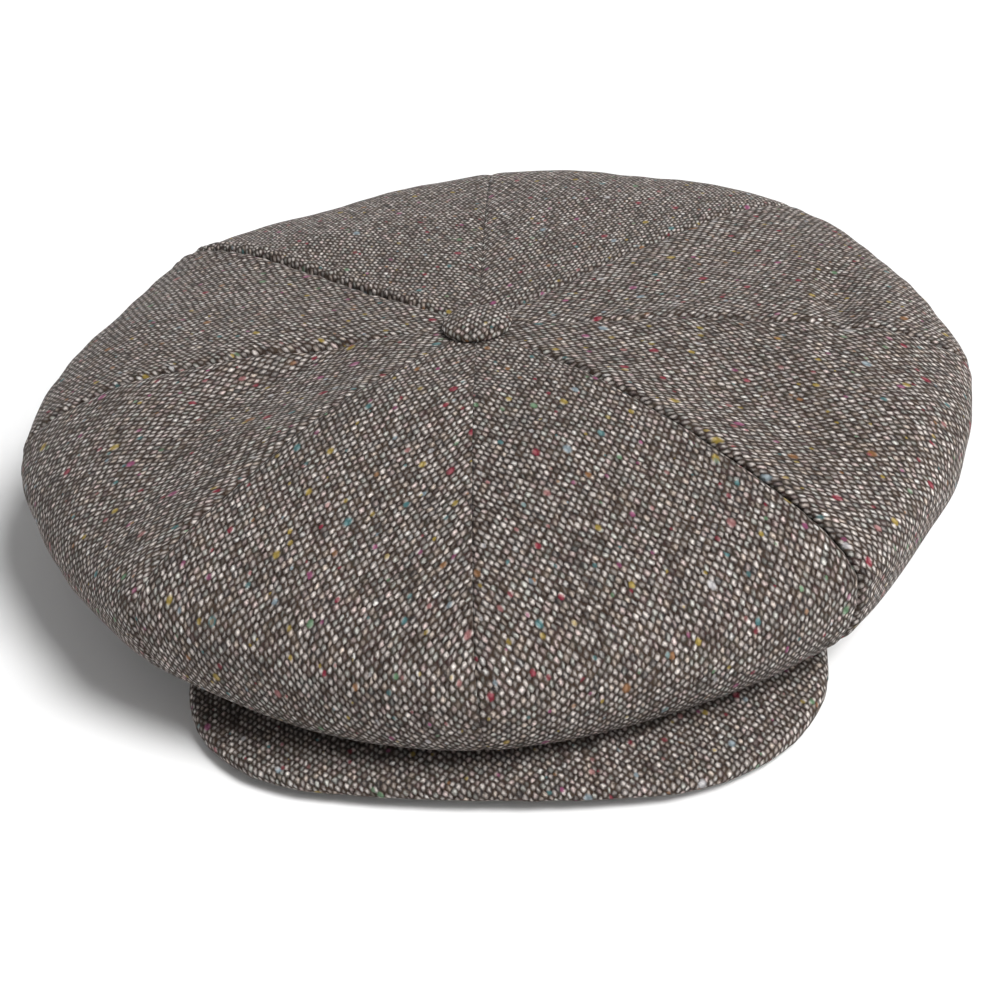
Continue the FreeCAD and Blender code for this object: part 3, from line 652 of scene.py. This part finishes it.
def lining_panel(number, name):
    """One satin panel of the lining, slack between its seams."""
    grid, across, along = panel_grid(number, lining_meridian, LINING_COLUMNS, LINING_ROWS)
    width = across[:, -1:]
    to_seam = np.minimum(across, width - across)
    folds = smooth_noise(grid[:, :, 0] * 1.6, grid[:, :, 1] * 0.8, LINING_FOLD_LENGTH, 21 + number)
    fade = (np.clip((along - LINING_FOLD_START) / LINING_BUTTON_FADE, 0, 1)
            * np.clip((along[-1:] - along) / LINING_BAND_FADE, 0, 1))
    relief = -LINING_FOLDS * np.abs(folds) * np.clip(to_seam / LINING_FOLD_START, 0, 1)
    relief -= LINING_SEAM_DEPTH * np.exp(-(to_seam / LINING_SEAM_WIDTH) ** 2)
    grid = grid + grid_normals(grid) * (relief * fade)[:, :, None]
    weave = np.stack([across - width / 2, along], 2)
    piece = sheet_mesh("lining_" + name, grid, weave, LINING_THICK)
    return dress(piece, SATIN, "cap", "lining_satin", "lining_panel_" + name)


for panel_number, panel_name in enumerate(PANEL_NAMES):
    crown_panel(panel_number, panel_name)
    lining_panel(panel_number, panel_name)


# ---- swept and turned pieces ----

def ring(name, half_width, half_length, section, count=220, wave=0.0, thickness=0.0):
    """Sweeps a section of (outwards, height) points along an ellipse. A wave lifts it softly here and there."""
    turns = np.linspace(0, math.tau, count, endpoint=False)
    grid = np.zeros((len(section), count, 3))
    weave = np.zeros((len(section), count + 1, 2))
    down = np.concatenate(([0.0], np.cumsum(np.linalg.norm(np.diff(np.array(section), axis=0), axis=1))))
    lift = wave * (np.sin(3 * turns + 0.7) + 0.6 * np.sin(7 * turns + 2.0) + 0.3 * np.sin(13 * turns)) / 1.9
    low, high = min(z for _, z in section), max(z for _, z in section)
    for row, (out, z) in enumerate(section):
        grid[row, :, 0] = (half_width + out) * np.sin(turns)
        grid[row, :, 1] = -(half_length + out) * np.cos(turns)
        grid[row, :, 2] = z + lift * (z - low) / (high - low)
        weave[row, :, 0] = np.linspace(0, 1, count + 1) * math.tau * (half_width + half_length) / 2
        weave[row, :, 1] = down[row]
    return sheet_mesh(name, grid, weave, thickness, closed=True)


def rounded(inside, outside, low, high, radius, steps=5):
    """A closed section between two distances and two heights with round corners, from the outside top down."""
    corners = ((outside - radius, high - radius, 90), (inside + radius, high - radius, 180),
               (inside + radius, low + radius, 270), (outside - radius, low + radius, 360))
    section = []
    for x, z, end in corners:
        for step in range(steps + 1):
            angle = math.radians(end - 90 + 90 * step / steps)
            section.append((x + radius * math.cos(angle), z + radius * math.sin(angle)))
    return section + section[:1]


def turned(name, profile, centre, count=96, wave=0.0, waves=0, wave_from=0.0):
    """Turns a profile of (radius, height) points about a vertical line. Its rim can be gathered in waves."""
    turns = np.linspace(0, math.tau, count, endpoint=False)
    grid = np.zeros((len(profile), count, 3))
    weave = np.zeros((len(profile), count + 1, 2))
    down = np.concatenate(([0.0], np.cumsum(np.linalg.norm(np.diff(np.array(profile), axis=0), axis=1))))
    widest = max(r for r, _ in profile)
    for row, (radius, z) in enumerate(profile):
        share = max(0.0, (down[row] - wave_from) / max(down[-1] - wave_from, 1e-9)) if waves else 0.0
        gathered = radius + wave * share * np.cos(waves * turns + 1.3 * np.sin(3 * turns)) * (radius / widest)
        grid[row, :, 0] = centre.x + gathered * np.cos(turns)
        grid[row, :, 1] = centre.y + gathered * np.sin(turns)
        grid[row, :, 2] = z
        closed_turns = np.append(turns, math.tau)
        weave[row, :, 0] = down[row] * np.cos(closed_turns)
        weave[row, :, 1] = down[row] * np.sin(closed_turns)
    return sheet_mesh(name, grid, weave, closed=True)


def stitches(name, points, directions, length, radius):
    """Short round threads, each with bent-in ends, as one mesh."""
    work = bmesh.new()
    shape = ((-0.5, 0.25, -1.0), (-0.36, 0.8, 0.5), (0.0, 1.0, 1.0), (0.36, 0.8, 0.5), (0.5, 0.25, -1.0))
    sides = 6
    for point, (forward, outward) in zip(points, directions):
        sideways = forward.cross(outward)
        rings = []
        for place, thick, lift in shape:
            middle = point + forward * (length * place) + outward * (radius * lift)
            rings.append([work.verts.new(middle + (sideways * math.cos(math.tau * side / sides)
                                                   + outward * math.sin(math.tau * side / sides)) * radius * thick)
                          for side in range(sides)])
        for one, other in zip(rings, rings[1:]):
            for side in range(sides):
                following = (side + 1) % sides
                work.faces.new((one[side], one[following], other[following], other[side]))
        work.faces.new(rings[0][::-1])
        work.faces.new(rings[-1])
    bmesh.ops.recalc_face_normals(work, faces=work.faces)
    mesh = bpy.data.meshes.new(name)
    work.to_mesh(mesh)
    work.free()
    mesh.shade_smooth()
    piece = bpy.data.objects.new(name, mesh)
    bpy.context.scene.collection.objects.link(piece)
    return piece


def stitch_ellipse(name, half_width, half_length, z, pitch, length, radius):
    """A row of stitches along an ellipse, on the face that looks inwards."""
    count = round(math.pi * (half_width + half_length) / pitch)
    points, directions = [], []
    for number in range(count):
        turn = math.tau * number / count
        points.append(Vector((half_width * math.sin(turn), -half_length * math.cos(turn), z)))
        forward = Vector((half_width * math.cos(turn), half_length * math.sin(turn), 0)).normalized()
        directions.append((forward, Vector((0, 0, 1)).cross(forward)))
    return stitches(name, points, directions, length, radius)


# ---- bands ----

BAND_THICK = 1.6 * MM
BAND_EDGE = 0.75 * MM
SWEAT_THICK = 1.2 * MM
SWEAT_EDGE = 0.55 * MM
SWEAT_WAVE = 0.7 * MM
THREAD = 0.22 * MM
STITCH_PITCH = 3.0 * MM
STITCH_LENGTH = 2.3 * MM

outer_band = ring("outer_band_tweed", BAND_HIGH.x, BAND_HIGH.y,
                  rounded(-BAND_THICK, 0, BAND_LOW.z, BAND_HIGH.z, BAND_EDGE))
dress(outer_band, TWEED, "cap", "tweed", "outer_band")
sweatband = ring("sweatband_cotton", SWEAT_HIGH.x, SWEAT_HIGH.y,
                 rounded(-SWEAT_THICK, 0, SWEAT_LOW.z, SWEAT_HIGH.z, SWEAT_EDGE), wave=-SWEAT_WAVE)
dress(sweatband, TWILL, "cap", "sweatband_twill", "sweatband")
for row_name, height in (("low", 2.2 * MM), ("high", SWEAT_HIGH.z - 3.2 * MM)):
    row = stitch_ellipse("sweatband_stitching_" + row_name, SWEAT_HIGH.x - SWEAT_THICK, SWEAT_HIGH.y - SWEAT_THICK,
                         height, STITCH_PITCH, STITCH_LENGTH, THREAD)
    dress(row, THREAD_BLACK, "cap", "sweatband_twill")

# ---- button and the felt patch under it ----

BUTTON_RADIUS = (BUTTON_HIGH.x - BUTTON_LOW.x) / 2
BUTTON_RISE = BUTTON_HIGH.z - BUTTON_LOW.z
BUTTON_EDGE = 0.42 * BUTTON_RISE
BUTTON_DOME = 0.93
BUTTON_DOME_POWER = 2.6
BUTTON_GAP = 0.15 * MM
BUTTON_HOLLOW = 0.25 * MM
BUTTON_GATHERS = 15
BUTTON_GATHER_DEPTH = 0.16 * MM


def button_profile():
    """A flat dome with a rounded edge that turns in underneath."""
    dome = [(BUTTON_RADIUS * BUTTON_DOME * t,
             BUTTON_HIGH.z - (BUTTON_RISE - 1.55 * BUTTON_EDGE) * t ** BUTTON_DOME_POWER)
            for t in np.linspace(0, 1, 16)]
    start = dome[-1]
    low = BUTTON_LOW.z + BUTTON_GAP
    side = bezier([start, (BUTTON_RADIUS, start[1] - 0.25 * BUTTON_EDGE),
                   (BUTTON_RADIUS * 1.03, low + 0.3 * BUTTON_EDGE), (BUTTON_RADIUS * BUTTON_DOME, low)], 10)
    under = [(BUTTON_RADIUS * share, low + BUTTON_HOLLOW * (BUTTON_DOME - share)) for share in (0.8, 0.5, 0.2, 0.0)]
    return dome + [tuple(point) for point in side[1:]] + under


button = turned("button_tweed", button_profile(), APEX, wave=-BUTTON_GATHER_DEPTH, waves=BUTTON_GATHERS,
                wave_from=0.85 * BUTTON_RADIUS)
dress(button, TWEED, "cap", "tweed", "button_cover")

PATCH_LOW, PATCH_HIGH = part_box("crown_tip_patch")
PATCH_RADIUS = (PATCH_HIGH.x - PATCH_LOW.x) / 2
patch_profile = [(share * PATCH_RADIUS, PATCH_HIGH.z) for share in (0.12, 0.4, 0.7, 0.94)]
patch_profile += [(PATCH_RADIUS, (PATCH_LOW.z + PATCH_HIGH.z) / 2)]
patch_profile += [(share * PATCH_RADIUS, PATCH_LOW.z) for share in (0.94, 0.7, 0.4, 0.12)] + patch_profile[:1]
patch = turned("crown_tip_felt", patch_profile, (PATCH_LOW + PATCH_HIGH) / 2)
dress(patch, FELT, "cap", "felt", "crown_tip_patch")

# ---- visor ----

VISOR_FLAT_RADIUS = 313 * MM
VISOR_CORNER_RADIUS = 57 * MM
VISOR_SIDE_RADIUS = 130 * MM
VISOR_HORN = -40 * MM
VISOR_ARCH_RADIUS = 1.4
VISOR_SLOPE = math.radians(0.8)
VISOR_CLEARANCE = 0.8 * MM
VISOR_GRAIN = math.radians(13)
UNDERCOVER_THICK = 1.3 * MM
TOP_PLY = 1.1 * MM
UNDER_PLY = 0.8 * MM
UNDER_INSET = 4.4 * MM
UNDER_GAP = 0.35 * MM
VISOR_ROWS = 30
UNDER_ROWS = 26
VISOR_BUMPS = ((0.14 * MM, 17 * MM, 31), (0.10 * MM, 6 * MM, 32))
VISOR_SINK = 0.25 * MM
VISOR_COUNT = 240
VISOR_THICK = VISOR_HIGH.z - UNDER_HIGH.z + UNDERCOVER_THICK
VISOR_EDGE = VISOR_THICK / 2


def visor_outline():
    """The visor's outline from its right horn round the front to its left horn, with its outward directions."""
    half, front = VISOR_HIGH.x, VISOR_LOW.y
    flat, corner, side = VISOR_FLAT_RADIUS, VISOR_CORNER_RADIUS, VISOR_SIDE_RADIUS
    front_y = flat + front
    corner_x = half - corner
    corner_y = front_y - math.sqrt((flat - corner) ** 2 - corner_x ** 2)
    lean = math.atan2(corner_y - front_y, corner_x)
    side_turn = math.asin((VISOR_HORN - corner_y) / side)
    points = []
    for x, y, radius, start, end in ((0, front_y, flat, -math.pi / 2, lean), (corner_x, corner_y, corner, lean, 0),
                                     (half - side, corner_y, side, 0, side_turn)):
        angles = np.linspace(start, end, 120)
        points.append(np.stack([x + radius * np.cos(angles), y + radius * np.sin(angles)], 1))
    left = np.concatenate(points)
    whole = np.concatenate((left[::-1] * (-1, 1), left[1:]))
    whole, _ = evenly(whole, VISOR_COUNT)
    tangent = np.gradient(whole, axis=0)
    tangent /= np.linalg.norm(tangent, axis=1, keepdims=True)
    return whole, np.stack([tangent[:, 1], -tangent[:, 0]], 1)


def visor_top_height(x, y):
    """The visor's upper face: arched from side to side, and falling a little to the front."""
    rear = -(BAND_HIGH.y + VISOR_CLEARANCE)
    return VISOR_HIGH.z + (y - rear) * math.sin(VISOR_SLOPE) - x ** 2 / (2 * VISOR_ARCH_RADIUS)


def visor_sheet(name, flat_rows, inset, tail, face, thickness):
    """A ply of the visor: from the band out to an inset from the outline, then along a tail of (outwards, depth)
    points. The face is how deep it lies under the visor's upper face."""
    outline, outwards = visor_outline()
    reach = np.linalg.norm(outline, axis=1)
    turn_x, turn_y = outline[:, 0] / reach, outline[:, 1] / reach
    seam_x, seam_y = BAND_HIGH.x + VISOR_CLEARANCE, BAND_HIGH.y + VISOR_CLEARANCE
    head = 1 / np.sqrt((turn_x / seam_x) ** 2 + (turn_y / seam_y) ** 2)
    inner = np.stack([turn_x, turn_y], 1) * head[:, None]
    edge = outline - outwards * inset
    rows, flats = [], []
    for share in np.linspace(0, 1, flat_rows):
        plan = inner + (edge - inner) * share
        rows.append((plan, face))
        flats.append(plan)
    beyond = 0.0
    last = (-inset, face)
    for out, depth in tail:
        beyond += math.hypot(out - last[0], depth - last[1])
        last = (out, depth)
        rows.append((outline + outwards * out, depth))
        flats.append(edge + outwards * beyond)
    grid = np.zeros((len(rows), VISOR_COUNT, 3))
    for number, (plan, depth) in enumerate(rows):
        grid[number, :, :2] = plan
        grid[number, :, 2] = visor_top_height(plan[:, 0], plan[:, 1]) - depth
    bumps = sum(height * smooth_noise(grid[:, :, 0], grid[:, :, 1] + grid[:, :, 2], wavelength, seed)
                for height, wavelength, seed in VISOR_BUMPS)
    side = 1 if face == 0 else -1
    grid += side * grid_normals(grid) * (bumps - VISOR_SINK)[:, :, None]
    weave = np.stack(flats) @ np.array([[math.cos(VISOR_GRAIN), -math.sin(VISOR_GRAIN)],
                                        [math.sin(VISOR_GRAIN), math.cos(VISOR_GRAIN)]])
    weave = weave if face == 0 else weave[:, ::-1]
    grid = grid if face == 0 else grid[:, ::-1]
    return sheet_mesh(name, grid, weave, thickness)


edge_turn = [(VISOR_EDGE * (math.sin(angle) - 1), VISOR_EDGE * (1 - math.cos(angle)))
             for angle in np.radians(np.linspace(12, 168, 14))]
edge_turn += [(-VISOR_EDGE - 2 * MM, VISOR_THICK), (-VISOR_EDGE - 5 * MM, VISOR_THICK)]
visor_top = visor_sheet("visor_top_tweed", VISOR_ROWS, VISOR_EDGE, edge_turn, 0.0, TOP_PLY)
dress(visor_top, TWEED, "visor", "tweed", "visor_top_cover", "visor_padding")
under_turn = [(0.8 * MM - UNDER_INSET, VISOR_THICK - 0.5 * MM)]
visor_under = visor_sheet("visor_under_tweed", UNDER_ROWS, UNDER_INSET, under_turn, VISOR_THICK + UNDER_GAP,
                          UNDER_PLY)
dress(visor_under, TWEED, "visor", "tweed", "visor_under_cover")

# ---- CAD nodes that keep their own shape ----

for node_name, node_material in (("band_stiffener", TAPE), ("button_shell", TIN), ("button_backplate", STEEL),
                                 ("button_tack", STEEL), ("visor_board", POLYTHENE)):
    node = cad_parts[node_name]
    for socket in node.material_slots:
        socket.material = node_material

# ---- camera, light and floor ----

CAMERA_AZIMUTH = math.radians(10.5)
CAMERA_HEIGHT = math.radians(32.0)
CAMERA_ROLL = math.radians(6.2)
CAMERA_DISTANCE = 583 * MM
CAMERA_LENS = 65.5
AIM_RIGHT = -11.7 * MM
AIM_UP = -28.9 * MM
AIM_CENTRE = Vector((0, 0, 41.3 * MM))


def add_camera():
    """The camera looks down on the front of the cap from a little to the wearer's left."""
    away = Vector((math.sin(CAMERA_AZIMUTH) * math.cos(CAMERA_HEIGHT),
                   -math.cos(CAMERA_AZIMUTH) * math.cos(CAMERA_HEIGHT), math.sin(CAMERA_HEIGHT)))
    right = Vector((math.cos(CAMERA_AZIMUTH), math.sin(CAMERA_AZIMUTH), 0))
    up = away.cross(right)
    data = bpy.data.cameras.new("camera")
    data.lens = CAMERA_LENS
    data.clip_start = 0.01
    camera = bpy.data.objects.new("camera", data)
    bpy.context.scene.collection.objects.link(camera)
    camera.location = AIM_CENTRE + right * AIM_RIGHT + up * AIM_UP + away * CAMERA_DISTANCE
    turn = away.to_track_quat("Z", "Y").to_matrix()
    roll = -CAMERA_ROLL
    rolled_right = right * math.cos(roll) + up * math.sin(roll)
    rolled_up = up * math.cos(roll) - right * math.sin(roll)
    for axis, direction in enumerate((rolled_right, rolled_up, away)):
        for component in range(3):
            turn[component][axis] = direction[component]
    camera.rotation_euler = turn.to_euler()
    bpy.context.scene.camera = camera


def add_sun(name, towards, strength, softness):
    """A soft, even light from far away. Its softness is the angle that it fills in the sky, in degrees."""
    data = bpy.data.lights.new(name, "SUN")
    data.energy = strength
    data.angle = math.radians(softness)
    light = bpy.data.objects.new(name, data)
    light.rotation_euler = Vector(towards).to_track_quat("Z", "Y").to_euler()
    bpy.context.scene.collection.objects.link(light)


LIGHTS = (("key", (0.56, -0.22, 0.80), 3.7, 24), ("side", (0.82, -0.30, 0.50), 1.3, 30),
          ("top", (0.10, -0.20, 1.0), 0.15, 60))
SKY_STRENGTH = 0.10
STUDIO_WHITE = (0.80, 0.80, 0.80, 1.0)
STUDIO_FLOOR = 2.6
STUDIO_BEND = 1.2
STUDIO_WALL = 1.3
STUDIO_GLOW = 0.65
GLOW_FROM = 0.04 * STUDIO_BEND


def add_studio():
    """A plain pale floor, at the height that the cap stands on, which bends up into a round wall. The wall glows a
    little, so that it is as pale as the floor on the side that no light reaches."""
    bend = [(STUDIO_FLOOR + STUDIO_BEND * math.sin(angle), STUDIO_BEND * (1 - math.cos(angle)))
            for angle in np.radians(np.linspace(0, 90, 12))]
    profile = [(0.0, 0.0), (0.5, 0.0), *bend, (STUDIO_FLOOR + STUDIO_BEND, STUDIO_WALL)]
    studio = turned("studio", profile, Vector((0, 0, 0)))
    s = Shader("studio")
    _, _, height = s.split(s.node("ShaderNodeTexCoord").outputs["Object"])
    s.put(s.surface.inputs["Emission Color"], (1.0, 1.0, 1.0, 1.0))
    s.put(s.surface.inputs["Emission Strength"], s.fade(height, 0.0, GLOW_FROM, 0.0, STUDIO_GLOW))
    studio.data.materials.append(s.finish(STUDIO_WHITE, 0.8, Specular_IOR_Level=0.1))


add_camera()
for light in LIGHTS:
    add_sun(*light)
add_studio()
world = bpy.data.worlds.new("studio")
world.use_nodes = True
world.node_tree.nodes["Background"].inputs[0].default_value = (1, 1, 1, 1)
world.node_tree.nodes["Background"].inputs[1].default_value = SKY_STRENGTH
bpy.context.scene.world = world
bpy.context.scene.view_settings.view_transform = "Standard"
